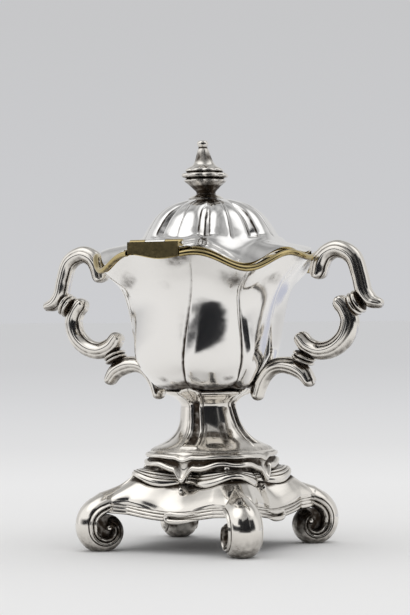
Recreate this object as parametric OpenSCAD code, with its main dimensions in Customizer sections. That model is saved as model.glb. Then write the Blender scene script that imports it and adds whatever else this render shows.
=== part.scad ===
// Silver mustard pot: a lobed bowl with a wavy gilt rim on a fluted stem, a draped plinth
// and four volute feet, with a hinged fluted lid and two scroll handles.
// Millimetres, +Z up, table at z = 0, handles along X, lid hinge toward -Y.

/* [Bowl] */
// Radius of the rim, to the middle of its rolled edge
rim_r = 34.5; // [33.5:0.5:36]
// Height of the bowl from its socket to the mean rim
bowl_h = 40.5; // [38:0.5:44]
// Radius of the belly just below the flare
bowl_r = 25.4; // [24:0.2:26.4]
// Thickness of the bowl's wall
bowl_t = 1; // [0.8:0.1:1.2]
// Depth of the creases between the bowl's panels
crease_depth = 1.2; // [0.6:0.1:1.5]
// Drop of the rim toward the four corners
corner_drop = 1.8; // [1.2:0.05:2]
// Rise of the eight crests of the rim
crest_rise = 1.45; // [1:0.05:2]
// Radius of the rolled rim edge
wire_r = 1.1; // [0.9:0.05:1.2]

/* [Lid] */
// Radius at the foot of the lid's dome
dome_r = 19.8; // [18.6:0.2:20.8]
// Height of the dome above its foot
dome_h = 12; // [10:0.5:14]
// Thickness of the lid
lid_t = 0.9; // [0.7:0.1:1]
// Depth of the lid's narrow flutes
flute_depth = 0.8; // [0.4:0.1:1]

/* [Hinge] */
// Length of the hinge along its pin
hinge_len = 17.6; // [15:0.2:18]
// Outer radius of the hinge's knuckles
barrel_r = 1.1; // [1:0.05:1.2]
// Radius of the hinge pin
pin_r = 0.55; // [0.45:0.05:0.6]
// Thickness of the upright hinge plate
plate_t = 0.8; // [0.6:0.1:0.9]

/* [Finial] */
// Height of the finial above the lid
finial_h = 18.4; // [16:0.4:21]
// Radius of the finial's widest ring
finial_r = 6.2; // [5.4:0.1:6.8]
// Radius of the finial's stud
stud_r = 1.2; // [1:0.1:1.4]

/* [Handles] */
// Radius from the pot's axis to the tips of the handles
handle_r = 60.2; // [57:0.2:64]
// Thickness of the handle scrolls, seen from the side
scroll_t = 5.6; // [5.2:0.1:5.9]
// Width of the handle scrolls, front to back
scroll_w = 5.8; // [5:0.1:6.6]
// Radius of the beads on the handle collars
collar_r = 3.8; // [3.4:0.1:4.1]

/* [Stem] */
// Height of the stem
stem_h = 18; // [16:0.5:21]
// Radius of the stem at its waist
stem_r = 8.7; // [8.2:0.1:9.4]
// Radius of the stem's spreading foot
stem_foot_r = 16.4; // [15.6:0.1:17]
// Radius of the stem's lip under the bowl
stem_lip_r = 12.7; // [12.2:0.1:13.2]
// Depth of the stem's four flutes
stem_flute_depth = 0.6; // [0.3:0.1:0.8]

/* [Base] */
// Mean radius of the draped upper tier
tier_r = 20.7; // [20:0.1:21.6]
// Mean radius of the lower tier
step_r = 22; // [21.6:0.1:22.8]
// Height from the table to the top of the base shell
shell_z = 20.2; // [19.6:0.1:21.2]
// Radius at which the feet join the arms of the base shell
arm_r = 31; // [30:0.2:32]
// Width of the feet and of the arms that carry them
foot_w = 10.4; // [9.4:0.2:11.2]
// Radius of the feet's volutes where they turn down
volute_r = 10.5; // [10:0.1:11]
// Thickness of the feet's bands
foot_t = 5.7; // [5.2:0.1:6]
// Mean radius of the base shell's sides between the feet
side_r = 24.6; // [24:0.1:25.4]
// Height of the shell's lower edge between the feet
apron_z = 9.8; // [9:0.1:10.6]

/* [Hidden] */
$fn = 64;

// Gap left at a soldered seam, and the clearances of the moving lid
seam = 0.05;
pin_gap = 0.05;
lid_gap = 0.4;
end_gap = 0.15;

// Heights of the stack, from the table up
step_h = 4.4;
drape_h = 5.5;
socket_h = 1;
step_z = shell_z + seam;
drape_z = step_z + step_h + seam;
stem_z = drape_z + drape_h + seam;
socket_z = stem_z + stem_h + seam;
seat_z = socket_z + socket_h + seam;
rim_z = seat_z + bowl_h;
lid_rise = 6.6;
foot_z = rim_z + lid_rise;
lid_top = foot_z + dome_h;

// Small helpers
function lerp(a, b, t) = a + (b - a) * t;
function ease(t) = let (c = max(0, min(1, t))) c * c * (3 - 2 * c);
function hump(u) = 1 - pow(2 * u - 1, 2);
function unit(v) = v / norm(v);
function total(v, i = 0) = i == len(v) - 1 ? v[i] : v[i] + total(v, i + 1);
function reverse(v) = [for (i = [len(v) - 1 : -1 : 0]) v[i]];
function polar(r, a, z) = [r * cos(a), r * sin(a), z];

// A smooth curve through a few points, with n steps to each span
function blend(a, b, c, d, t) =
    0.5 * (2 * b + (c - a) * t + (2 * a - 5 * b + 4 * c - d) * t * t + (3 * b - a - 3 * c + d) * t * t * t);
function smooth(p, n) = [
    for (i = [0 : len(p) - 2], k = [0 : n - 1])
        blend(p[max(i - 1, 0)], p[i], p[i + 1], p[min(i + 2, len(p) - 1)], k / n),
    p[len(p) - 1]
];

// Normals of a radius and height outline, pointing to the inside of the wall
function inward(line) = [
    for (i = [0 : len(line) - 1])
        let (t = line[min(i + 1, len(line) - 1)] - line[max(i - 1, 0)]) unit([-t[1], t[0]])
];
function inset(line, d) = let (n = inward(line)) [for (i = [0 : len(line) - 1]) line[i] + d * n[i]];

// Radius of an outline at a height
function radius_at(line, z) = lookup(z, [for (p = line) [p[1], p[0]]]);

// A solid skinned over rings of points; a closed one joins its last ring to its first
module skin(rings, closed = false) {
    n = len(rings[0]);
    m = len(rings);
    middles = closed ? [] : [total(rings[0]) / n, total(rings[m - 1]) / n];
    sides = [
        for (i = [0 : (closed ? m : m - 1) - 1], j = [0 : n - 1])
            let (k = (j + 1) % n, low = i * n, high = ((i + 1) % m) * n)
                each [[low + j, high + j, high + k], [low + j, high + k, low + k]]
    ];
    caps = closed ? [] : [
        for (j = [0 : n - 1])
            let (k = (j + 1) % n, last = (m - 1) * n)
                each [[m * n, j, k], [m * n + 1, last + k, last + j]]
    ];
    polyhedron(concat([for (r = rings) each r], middles), concat(sides, caps), convexity = 8);
}

// Rim: eight crests, with deeper dips near the four corners, all leaning the way the creases do
rim_lean = 4;
rim_sag = 0.53;
function rim_wave(a) =
    corner_drop * (cos(4 * (a - rim_lean)) - rim_sag) - crest_rise * cos(8 * (a - rim_lean));

// Bowl: panels between creases that lean as they climb, the far half repeating the near half
lip_r = rim_r - wire_r - seam;
flare_z = seat_z + 0.62 * bowl_h;
crease_top = [-135, -70, -40, -2];
crease_foot = [-152, -84, -30, -6];
panels = 8;
panel_steps = 7;
bowl_outline = [
    [0.645 * bowl_r, seat_z + 0.012 * bowl_h],
    [0.764 * bowl_r, seat_z + 0.1 * bowl_h],
    [0.874 * bowl_r, seat_z + 0.256 * bowl_h],
    [0.985 * bowl_r, seat_z + 0.64 * bowl_h],
    [lerp(bowl_r, lip_r, 0.22), seat_z + 0.795 * bowl_h],
    [lerp(bowl_r, lip_r, 0.6), seat_z + 0.905 * bowl_h],
    [lip_r, rim_z]
];
bowl_line = concat([[0.45 * bowl_r, seat_z]], smooth(bowl_outline, 2));
bowl_inner = reverse(inset(concat([[0.45 * bowl_r, seat_z]], bowl_outline), bowl_t));
bowl_columns = [for (p = [0 : panels - 1], k = [0 : panel_steps - 1]) [p, k / panel_steps]];

function crease(p, s) = lerp(crease_foot[p % 4], crease_top[p % 4], s) + 180 * floor(p / 4);
function bowl_azimuth(c, s) = lerp(crease(c[0], s), crease(c[0] + 1, s), c[1]);
function bowl_point(q, c) =
    let (
        a = bowl_azimuth(c, ease((q[1] - seat_z) / bowl_h)),
        fade = ease((q[1] - seat_z) / (0.17 * bowl_h)) * ease((rim_z + bowl_t - q[1]) / (0.25 * bowl_h)),
        lift = rim_wave(a) * ease((q[1] - flare_z) / (rim_z - flare_z))
    )
    polar(q[0] - crease_depth * fade * (1 - hump(c[1])), a, q[1] + lift);

module bowl() {
    color("gainsboro")
        skin([for (q = concat(bowl_line, bowl_inner)) [for (c = bowl_columns) bowl_point(q, c)]]);
}

// Rolled gilt edge, following the rim from one end of the hinge plate round to the other
hinge_half = hinge_len / 2;
wire_sides = 6;
wire_start = asin((hinge_half + 2 * end_gap) / rim_r) - 90;
wire_end = 180 - wire_start;
rim_columns = [for (c = bowl_columns) bowl_azimuth(c, 1)];
wire_columns = concat(
    [wire_start],
    [for (a = rim_columns) if (a > wire_start + 1) a],
    [for (a = rim_columns) if (a < wire_end - 361) a + 360],
    [wire_end]
);
module rim_wire() {
    rings = [
        for (a = wire_columns)
            let (z = rim_z + rim_wave(a) + bowl_t / 2) [
                for (k = [0 : wire_sides - 1])
                    let (turn = 90 + 360 * k / wire_sides)
                        polar(rim_r + wire_r * sin(turn), a, z + wire_r * cos(turn))
            ]
    ];
    color("goldenrod") skin(rings);
}

// Hinge: an upright plate let into the rim's edge, with the knuckles behind its top
knuckle_gap = 0.5;
plate_y = rim_r - 0.55 * wire_r;
axis_y = plate_y - plate_t - knuckle_gap - barrel_r;
axis_z = rim_z + 0.645 * lid_rise;
plate_top = axis_z + 0.36 * barrel_r;
lid_knuckle = 0.38 * hinge_len;
plate_steps = 8;
plate_seat = 0.3;

// Top of the bowl's lip under the plate, at a distance along the hinge
function lip_top(x) =
    let (a = atan2(-plate_y, x), r = norm([x, plate_y - plate_t]))
        rim_z + rim_wave(a) + 0.83 * max(0, lip_r - r);

module knuckle(length) {
    rotate([0, 90, 0])
        difference() {
            cylinder(r = barrel_r, h = length, center = true);
            cylinder(r = pin_r + pin_gap, h = length + 1, center = true);
        }
}

module hinge_plate() {
    side = hinge_half - lid_knuckle / 2 - end_gap;
    feet = [
        for (k = [0 : plate_steps])
            let (x = lerp(-hinge_half, hinge_half, k / plate_steps)) [x, lip_top(x) + plate_seat]
    ];
    color("darkkhaki") {
        translate([0, -plate_y + plate_t, 0])
            rotate([90, 0, 0])
                linear_extrude(plate_t)
                    polygon(concat(feet, [[hinge_half, plate_top], [-hinge_half, plate_top]]));
        for (s = [-1, 1])
            translate([s * (hinge_half - side / 2), -axis_y, axis_z]) {
                knuckle(side);
                difference() {
                    translate([-side / 2, -barrel_r - knuckle_gap - plate_t / 2, -barrel_r])
                        cube([side, barrel_r + knuckle_gap + plate_t / 2, 0.8 * barrel_r]);
                    rotate([0, 90, 0]) cylinder(r = 0.8 * barrel_r, h = side + 1, center = true);
                }
            }
    }
}

module hinge_pin() {
    color("silver")
        translate([0, -axis_y, axis_z])
            rotate([0, 90, 0])
                cylinder(r = pin_r, h = hinge_len + pin_r, center = true);
}

// Turned ring between the stem and the bowl
module bowl_socket() {
    ring_r = 0.53 * bowl_r;
    color("dimgray")
        translate([0, 0, socket_z])
            rotate_extrude()
                polygon([
                    [0.7 * ring_r, 0], [0.955 * ring_r, 0], [ring_r, socket_h / 2],
                    [0.955 * ring_r, socket_h], [0.7 * ring_r, socket_h]
                ]);
}

// Stem: a sunk flute with a raised border faces each handle, the hinge and the back, and the panels between
// them roll over at the top
stem_t = 1;
foot_spread = [[1, 0], [0.64, 0.07], [0.36, 0.165], [0.155, 0.3], [0, 0.52]];
lip_spread = [[0.04, 0.7], [0.35, 0.86], [0.9, 0.955], [1, 1]];
stem_line = concat(
    [for (p = foot_spread) [lerp(stem_r, stem_foot_r, p[0]), stem_z + p[1] * stem_h]],
    [for (p = lip_spread) [lerp(stem_r, stem_lip_r, p[0]), stem_z + p[1] * stem_h]]
);
flute_side = [0, 5, 7.5, 9, 10.5, 12, 22, 33.5, 45];
flute_far = reverse([for (i = [1 : len(flute_side) - 2]) 90 - flute_side[i]]);
stem_columns = [for (q = [0 : 3], o = concat(flute_side, flute_far)) 90 * q + o];
lip_roll = 1.2 * stem_flute_depth;

// Height of the relief across a flute and its border, in flute depths
function stem_relief(o) = lookup(o, [[5, -1], [7.5, -1], [9, 0.4], [10.5, 0.4], [12, 0]]);
function stem_point(q, a) =
    let (
        s = (q[1] - stem_z) / stem_h,
        o = a - 90 * floor(a / 90),
        aside = min(o, 90 - o),
        fade = ease(s / 0.07) * ease((0.99 - s) / 0.06),
        roll = ease((aside - 12) / 10) * lookup(s, [[0.7, 0], [0.86, 1], [0.955, 0.5], [1, -1]])
    )
    polar(q[0] + stem_flute_depth * stem_relief(aside) * fade + lip_roll * roll, a, q[1]);

module stem() {
    bore = [for (i = [8, 5, 3, 0]) [stem_line[i][0] - stem_t - stem_flute_depth, stem_line[i][1]]];
    color("lightgray")
        skin(
            concat(
                [for (q = stem_line) [for (a = stem_columns) stem_point(q, a)]],
                [for (q = bore) [for (a = stem_columns) polar(q[0], a, q[1])]]
            ),
            closed = true
        );
}

// Plinth: plan drawn out toward the feet, drape hanging in points toward the handles and the hinge
plinth_columns = [for (k = [0 : 47]) 7.5 * k];
drape_t = 1.2;
hub_r = 0.762 * stem_foot_r;
tip_drop = 0.65 * drape_h;
tier_corner = 0.082 * tier_r;
step_corner = 0.19 * step_r;
step_notch = 0.073 * step_r;
tuck = 0.3;
function point_at(a) = pow((1 + cos(4 * a)) / 2, 5);
function tier_at(a) = tier_r - tier_corner * cos(4 * a);
function step_at(a) = step_r - step_corner * cos(4 * a) - step_notch * point_at(a);
function drape_low(a) = drape_z - tip_drop * point_at(a);

// One ring of the drape: offset from its plan in thicknesses, height in drape heights, share of the points' drop
function drape_ring(row) = [
    for (a = plinth_columns)
        polar(tier_at(a) + row[0] * drape_t, a, drape_z + row[1] * drape_h - row[2] * tip_drop * point_at(a))
];

module plinth_drape() {
    top = drape_z + drape_h;
    outside = [[0, 0, 1], [0.25, 0.16, 0], [-0.25, 0.3, 0], [0.4, 0.5, 0], [0.17, 0.68, 0], [-1, 0.84, 0]];
    inside = [[-2.2, 0.6, 0], [-1, 0.2, 0], [-1, 0, 1]];
    hub = [[1.025 * stem_foot_r, top], [hub_r, top], [hub_r, top - drape_t]];
    color("silver")
        skin(
            concat(
                [for (row = outside) drape_ring(row)],
                [for (q = hub) [for (a = plinth_columns) polar(q[0], a, q[1])]],
                [for (row = inside) drape_ring(row)]
            ),
            closed = true
        );
}

// A point of the lower tier, kept inside the drape wherever the drape hangs over it
function step_point(r, a, z) =
    polar(z > drape_low(a) - 2 * tuck ? min(r, tier_at(a) - drape_t - tuck) : r, a, z);

module plinth_step() {
    corner_rise = 0.36 * step_h;
    top = step_z + step_h;
    outside = [
        for (row = [[-0.27, 0.01, 1], [0, 0.2, 1], [-0.05, 0.55, 0.6], [-0.3, 0.86, 0]]) [
            for (a = plinth_columns)
                let (z = step_z + row[1] * step_h + row[2] * corner_rise * (1 - point_at(a)))
                    step_point(step_at(a) + row[0] * step_h, a, z)
        ]
    ];
    over = [for (a = plinth_columns) step_point(step_at(a) - 0.45 * step_h, a, top)];
    hub = [
        for (q = [[hub_r, top], [hub_r, step_z], [1.2 * hub_r, step_z]])
            [for (a = plinth_columns) polar(q[0], a, q[1])]
    ];
    color("gray") skin(concat(outside, [over], hub), closed = true);
}

// Base shell: four arms toward the feet, with hollow sides between them
arm_half = atan(foot_w / 2 / arm_r);
shell_t = 1.2;
arm_offsets = [-45, -36, -27.5, -20, -14, -1 * arm_half, -6.4, -3.2, 0, 3.2, 6.4, arm_half, 14, 20, 27.5, 36];
shell_columns = [for (q = [0 : 3], o = arm_offsets) [45 + 90 * q, o]];
drop = shell_z - apron_z;
arm_top = shell_z - 0.21 * drop;
arm_low = arm_top - foot_t;

// One row of the shell: radius and height on the side, then on the arm's ridge, then the arch across the arm
function shell_point(row, c) =
    let (
        o = abs(c[1]),
        on_arm = o <= arm_half ? 1 : pow((45 - o) / (45 - arm_half), 2),
        across = min(1, o / arm_half),
        r_arm = row[2] / cos(min(o, arm_half)),
        z_arm = row[3] - row[4] * across * across
    )
    polar(lerp(row[0], r_arm, on_arm), c[0] + c[1], lerp(row[1], z_arm, on_arm));

module base_shell() {
    rows = [
        [side_r, apron_z, arm_r, arm_low, 0],
        [1.012 * side_r, apron_z + 0.125 * drop, arm_r, arm_low + 0.28 * foot_t, 0],
        [0.972 * side_r, apron_z + 0.21 * drop, arm_r, arm_low + 0.386 * foot_t, 0],
        [0.95 * side_r, apron_z + 0.385 * drop, arm_r, arm_top, 0.25 * foot_w],
        [0.9 * side_r, apron_z + 0.655 * drop, 0.916 * arm_r, shell_z - 0.125 * drop, 0.154 * foot_w],
        [0.82 * side_r, apron_z + 0.913 * drop, 0.79 * arm_r, shell_z + 0.077 * drop, 0.077 * foot_w],
        [1.23 * hub_r, shell_z, 1.23 * hub_r, shell_z, 0],
        [hub_r, shell_z, hub_r, shell_z, 0],
        [hub_r, shell_z - shell_t, hub_r, shell_z - shell_t, 0],
        [0.84 * side_r, shell_z - 0.42 * drop, 0.855 * arm_r, shell_z - 0.31 * drop, 0.135 * foot_w],
        [side_r - shell_t, apron_z, arm_r - shell_t, arm_low, 0]
    ];
    color("lightgray") skin([for (row = rows) [for (c = shell_columns) shell_point(row, c)]], closed = true);
}

// Feet: a crowned band that leaves the arm and winds down into a volute
volute_turn = 330;
volute_steps = 14;
band = [[1, 0], [0.9, 0.5], [0.45, 0.9], [-0.1, 1], [-0.35, 0.86], [-0.75, 0.92], [-1, 0.45]];
band_section = concat(band, [for (p = reverse([for (i = [1 : len(band) - 1]) band[i]])) [p[0], -p[1]]]);
eye_r = 0.26 * foot_t;
eye_out = 0.1 * foot_w;

function band_t(turn) = foot_t * lookup(turn, [[0, 0.98], [90, 1.02], [180, 0.77], [270, 0.6], [330, 0.46]]);
function volute_out(turn) = volute_r * (1 - 0.61 * turn / 360);
sole = 0.5;
volute_z = volute_out(180) - sole;
volute_x = arm_r + 0.24 * volute_r;

// One ring of a foot, about a centre in the plane of the arm, square to a direction
function foot_ring(centre, out, thick) = [
    for (p = band_section)
        let (q = centre + p[0] * thick / 2 * out) [q[0], -p[1] * foot_w / 2, max(q[1], 0)]
];

module foot(corner) {
    start = foot_ring([arm_r + seam, arm_top - foot_t / 2], [0, 1], foot_t);
    turns = [
        for (k = [0 : volute_steps])
            let (
                turn = volute_turn * k / volute_steps,
                out = [sin(turn), cos(turn)],
                mid = volute_out(turn) - band_t(turn) / 2
            )
            foot_ring([volute_x, volute_z] + mid * out, out, band_t(turn))
    ];
    eye = total(turns[volute_steps]) / len(band_section);
    color("silver")
        rotate([0, 0, corner]) {
            skin(concat([start], turns));
            translate(eye)
                rotate([90, 0, 0]) cylinder(r = eye_r, h = foot_w + 2 * eye_out, center = true);
        }
}

module foot_front_right() { foot(-45); }
module foot_back_right() { foot(45); }
module foot_back_left() { foot(135); }
module foot_front_left() { foot(-135); }

// Handles: centre lines as [radius, height, thickness], drawn in bowl heights out from the rim and up from the
// bowl's seat. Slack moves the outer scrolls to the wanted reach, and the arch over the rim takes it up.
tip_out = 0.615;
tip_cap = 0.17 * scroll_t;
slack = handle_r - tip_cap - rim_r - tip_out * bowl_h;
function arm_at(out, up, thick, shift = 1) =
    [rim_r + out * bowl_h + shift * slack, seat_z + up * bowl_h, thick * scroll_t];

upper_path = smooth([
    arm_at(0.109, 0.894, 1.05, 0), arm_at(0.128, 0.96, 1.1, 0.05), arm_at(0.183, 1.027, 1, 0.3),
    arm_at(0.281, 1.054, 0.97, 0.7), arm_at(0.395, 0.993, 0.95), arm_at(0.449, 0.854, 0.92),
    arm_at(0.479, 0.738, 0.9), arm_at(0.538, 0.669, 0.75), arm_at(tip_out, 0.644, 0.4)
], 2);
c_path = smooth([
    arm_at(0.296, 0.647, 0.85), arm_at(0.331, 0.602, 0.95), arm_at(0.363, 0.514, 1.05),
    arm_at(0.326, 0.4, 1.05), arm_at(0.232, 0.319, 1.02), arm_at(0.119, 0.294, 1),
    arm_at(0.02, 0.328, 0.95), arm_at(-0.03, 0.38, 0.8)
], 2);
// The bracket runs from under the lower collar to the foot of the bowl
bracket_in = 0.69 * bowl_r;
function bracket_at(share, up, thick) =
    let (outer = arm_at(0.025, up, thick)) [lerp(bracket_in, outer[0], share), outer[1], outer[2]];
bracket_path = smooth([
    bracket_at(1, 0.064, 0.55), bracket_at(0.89, 0.128, 0.9), bracket_at(0.7, 0.173, 1),
    bracket_at(0.47, 0.185, 0.9), bracket_at(0.28, 0.16, 0.86), bracket_at(0.14, 0.104, 0.84),
    bracket_at(0.05, 0.032, 0.8), bracket_at(0, -0.044, 0.7)
], 2);

half_section = [[1, 0], [0.75, 0.66], [0.35, 0.72], [-0.05, 1], [-0.7, 0.7], [-1, 0]];
scroll_section = concat(half_section, [for (i = [4 : -1 : 1]) [half_section[i][0], -half_section[i][1]]]);

// Rounds off both ends of a centre line
function cap(end, before) =
    let (way = unit([end[0] - before[0], end[1] - before[1]])) [
        for (k = [[0.28, 0.8], [0.42, 0.45]])
            [end[0] + k[0] * end[2] * way[0], end[1] + k[0] * end[2] * way[1], k[1] * end[2]]
    ];
function rounded(path) =
    let (n = len(path)) concat(reverse(cap(path[0], path[1])), path, cap(path[n - 1], path[n - 2]));

// Nearest a handle may come to the pot's axis at a height, so that it lies against the bowl and the rim
wire_out = rim_r + wire_r;
contact_gap = 4 * seam;
contact_line = concat(bowl_line, [[wire_out, rim_z + rim_wave(0) - wire_r], [wire_out, rim_z + 0.12 * bowl_h]]);
function against_pot(p) =
    let (r = norm([p[0], p[1]]), least = p[2] < seat_z ? 0 : radius_at(contact_line, p[2]) + contact_gap)
        r >= least ? p : [sqrt(least * least - p[1] * p[1]), p[1], p[2]];

function path_out(path, i) =
    let (t = unit(path[min(i + 1, len(path) - 1)] - path[max(i - 1, 0)])) unit([t[1], -t[0]]);
function scroll_ring(path, i) =
    let (n = path_out(path, i), slim = min(1, 1.45 * path[i][2] / scroll_t)) [
        for (p = scroll_section)
            against_pot([
                path[i][0] + p[0] * path[i][2] / 2 * n[0],
                p[1] * slim * scroll_w / 2,
                path[i][1] + p[0] * path[i][2] / 2 * n[1]
            ])
    ];

module scroll(path) {
    line = rounded(path);
    color("silver") skin([for (i = [0 : len(line) - 1]) scroll_ring(line, i)]);
}

// A collar spans from one scroll's surface to another's, with room for the solder at its flat ends
collar_seam = 7 * seam;
module collar(from, to) {
    a = [from[0], 0, from[1]];
    b = [to[0], 0, to[1]];
    way = unit(b - a);
    start = a + way * (from[2] / 2 + collar_seam);
    length = norm(b - a) - (from[2] + to[2]) / 2 - 2 * collar_seam;
    neck = 0.62 * collar_r;
    color("dimgray")
        translate(start)
            rotate([0, atan2(way[0], way[2]), 0])
                rotate_extrude()
                    polygon([
                        [0, 0], [neck, 0], [collar_r, 0.14 * length], [collar_r, 0.34 * length],
                        [0.8 * collar_r, 0.5 * length], [collar_r, 0.66 * length],
                        [collar_r, 0.86 * length], [neck, length], [0, length]
                    ]);
}

module upper_collar() { collar(c_path[2], upper_path[13]); }
module lower_collar() { collar(bracket_path[3], c_path[12]); }

module right_upper_scroll() { scroll(upper_path); }
module right_upper_collar() { upper_collar(); }
module right_c_scroll() { scroll(c_path); }
module right_lower_collar() { lower_collar(); }
module right_bracket() { scroll(bracket_path); }
module left_upper_scroll() { rotate([0, 0, 180]) scroll(upper_path); }
module left_upper_collar() { rotate([0, 0, 180]) upper_collar(); }
module left_c_scroll() { rotate([0, 0, 180]) scroll(c_path); }
module left_lower_collar() { rotate([0, 0, 180]) lower_collar(); }
module left_bracket() { rotate([0, 0, 180]) scroll(bracket_path); }

// Lid: wide lobes over the handles, the hinge and the corners, narrow flutes between them
lid_edge_r = rim_r - wire_r - lid_gap;
crown_r = 0.97 * finial_r;
hole_r = stud_r + end_gap;
notch_half = 21;
notch_gap = 0.35;
chord_y = axis_y - barrel_r - notch_gap;
lobe_half = 16.5;
lobes = 8;
lid_outline = [
    [lid_edge_r, rim_z + 0.34 * lid_rise],
    [lerp(dome_r, lid_edge_r, 0.84), rim_z + 0.45 * lid_rise],
    [lerp(dome_r, lid_edge_r, 0.5), rim_z + 0.605 * lid_rise],
    [lerp(dome_r, lid_edge_r, 0.2), rim_z + 0.79 * lid_rise],
    [dome_r, foot_z],
    [0.91 * dome_r, foot_z + 0.26 * dome_h],
    [0.77 * dome_r, foot_z + 0.56 * dome_h],
    [0.57 * dome_r, foot_z + 0.81 * dome_h],
    [crown_r, lid_top],
    [hole_r, lid_top]
];
// Each column holds its azimuth and how far it sinks into a flute
lid_columns = [
    for (p = [0 : lobes - 1]) each concat(
        [for (k = [0 : 5]) [45 * p + lobe_half * (k / 3 - 1), 0.25 * (1 - hump(k / 6))]],
        [for (k = [0 : 3]) [45 * p + lobe_half + (45 - 2 * lobe_half) * k / 4, 0.25 + 0.75 * hump(k / 4)]]
    )
];
lid_normals = inward(lid_outline);

function hinge_side(a) = abs(a - 270) < notch_half;
function lid_point(i, c, depth) =
    let (
        sink = depth + flute_depth * c[1] * ease((lid_top - lid_outline[i][1]) / (0.25 * dome_h)),
        q = lid_outline[i] + sink * lid_normals[i],
        lift = rim_wave(c[0]) * ease((lid_outline[i][0] - dome_r) / (lid_edge_r - dome_r)),
        r = hinge_side(c[0]) ? min(q[0], (chord_y - depth) / cos(c[0] - 270)) : q[0]
    )
    polar(max(r, hole_r), c[0], q[1] + lift);

module lid() {
    rows = len(lid_outline);
    outside = [for (i = [0 : rows - 1]) [for (c = lid_columns) lid_point(i, c, 0)]];
    inside = [for (i = [rows - 1, rows - 2, 7, 5, 3, 0]) [for (c = lid_columns) lid_point(i, c, lid_t)]];
    color("whitesmoke") skin(concat(outside, inside), closed = true);
}

// Height of the lid's flange beside the hinge leaf
leaf_half = lid_knuckle / 2;
leaf_gap = 0.12;
leaf_t = 0.6;
leaf_spots = [-1 : 0.25 : 1];
function leaf_wave(r) = max([for (k = leaf_spots) rim_wave(270 + asin(k * leaf_half / r))]);
function flange_z(r) =
    lookup(r, [for (p = reverse(lid_outline)) [p[0], p[1]]])
    + leaf_wave(r) * ease((r - dome_r) / (lid_edge_r - dome_r));

module lid_leaf() {
    leaf_in = lerp(dome_r, chord_y, 0.5);
    tail = [-leaf_in, flange_z(leaf_in) + leaf_t];
    seat = [for (k = [0 : 4]) let (r = lerp(leaf_in, chord_y - leaf_gap, k / 4)) [-r, flange_z(r) + leaf_gap]];
    color("silver") {
        translate([0, -axis_y, axis_z]) knuckle(lid_knuckle);
        difference() {
            translate([-leaf_half, 0, 0])
                rotate([90, 0, 90])
                    linear_extrude(lid_knuckle)
                        polygon(concat(seat, [[-axis_y, axis_z], [-axis_y, axis_z + barrel_r], tail]));
            translate([0, -axis_y, axis_z])
                rotate([0, 90, 0]) cylinder(r = 0.8 * barrel_r, h = lid_knuckle + 1, center = true);
        }
    }
}

// Finial: eight-sided baluster on a stud, held by a washer and nut inside the dome
washer_r = 2.8 * stud_r;
washer_h = 0.5;
nut_r = 2.3 * stud_r;
nut_h = 1.5 * stud_r;
stud_end = 0.5 * stud_r;
washer_z = lid_top - lid_t - seam - washer_h;
nut_z = washer_z - seam - nut_h;

module finial() {
    z = lid_top + seam;
    color("dimgray") {
        translate([0, 0, z])
            rotate_extrude($fn = 8)
                polygon([for (p = [
                    [0, 0], [0.86, 0], [0.84, 0.03], [0.45, 0.07], [0.39, 0.11], [0.46, 0.15], [0.76, 0.24],
                    [0.9, 0.3], [0.8, 0.34], [1, 0.38], [1, 0.42], [0.78, 0.45], [0.86, 0.49], [0.78, 0.52],
                    [0.5, 0.57], [0.34, 0.65], [0.27, 0.77], [0.22, 0.86], [0.15, 0.88], [0.19, 0.92],
                    [0.17, 0.98], [0, 1]
                ]) [p[0] * finial_r, p[1] * finial_h]]);
        translate([0, 0, nut_z - stud_end]) cylinder(r = stud_r, h = z - nut_z + 2 * stud_end);
    }
}

module finial_washer() {
    color("silver")
        translate([0, 0, washer_z])
            difference() {
                cylinder(r = washer_r, h = washer_h);
                translate([0, 0, -1]) cylinder(r = stud_r + pin_gap, h = washer_h + 2);
            }
}

module finial_nut() {
    color("silver")
        translate([0, 0, nut_z])
            difference() {
                cylinder(r = nut_r, h = nut_h, $fn = 6);
                translate([0, 0, -1]) cylinder(r = stud_r + pin_gap, h = nut_h + 2);
            }
}

bowl();
rim_wire();
hinge_plate();
hinge_pin();
bowl_socket();
stem();
plinth_drape();
plinth_step();
base_shell();
foot_front_right();
foot_back_right();
foot_back_left();
foot_front_left();
right_upper_scroll();
right_upper_collar();
right_c_scroll();
right_lower_collar();
right_bracket();
left_upper_scroll();
left_upper_collar();
left_c_scroll();
left_lower_collar();
left_bracket();
lid();
lid_leaf();
finial();
finial_washer();
finial_nut();
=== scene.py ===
# %% [markdown]
# # Silver mustard pot
# A small table piece in silver: a tulip-shaped bowl with a wavy gilt rim, a hinged fluted lid with a
# finial, two scroll handles, a fluted stem, a draped plinth and four volute feet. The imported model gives
# the frame, and every piece below is modelled in millimetres where the frame has it, then scaled to metres.

# %% Load the frame
import math
import bmesh
import bpy
from mathutils import Matrix, Vector


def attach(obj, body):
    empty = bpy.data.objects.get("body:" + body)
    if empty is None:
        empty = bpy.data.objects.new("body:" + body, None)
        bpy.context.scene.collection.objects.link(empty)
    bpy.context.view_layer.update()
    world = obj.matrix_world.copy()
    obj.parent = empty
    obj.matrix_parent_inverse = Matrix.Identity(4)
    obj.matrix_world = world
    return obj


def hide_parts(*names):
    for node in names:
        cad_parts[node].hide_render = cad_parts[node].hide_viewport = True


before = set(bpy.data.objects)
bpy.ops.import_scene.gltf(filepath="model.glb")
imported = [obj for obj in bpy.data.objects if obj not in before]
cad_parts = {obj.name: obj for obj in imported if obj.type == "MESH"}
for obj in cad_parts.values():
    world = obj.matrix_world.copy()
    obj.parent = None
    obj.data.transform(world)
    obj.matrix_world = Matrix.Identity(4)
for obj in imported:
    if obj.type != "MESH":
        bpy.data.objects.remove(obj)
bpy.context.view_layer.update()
mm = 0.001
scene = bpy.context.scene
scene.view_settings.view_transform = "Standard"

# %% [markdown]
# ## Camera
# The photograph was taken from the height of the bowl, from a little to the right of the hinge, with a
# long lens. The camera stands there, with a half degree of roll.

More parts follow.
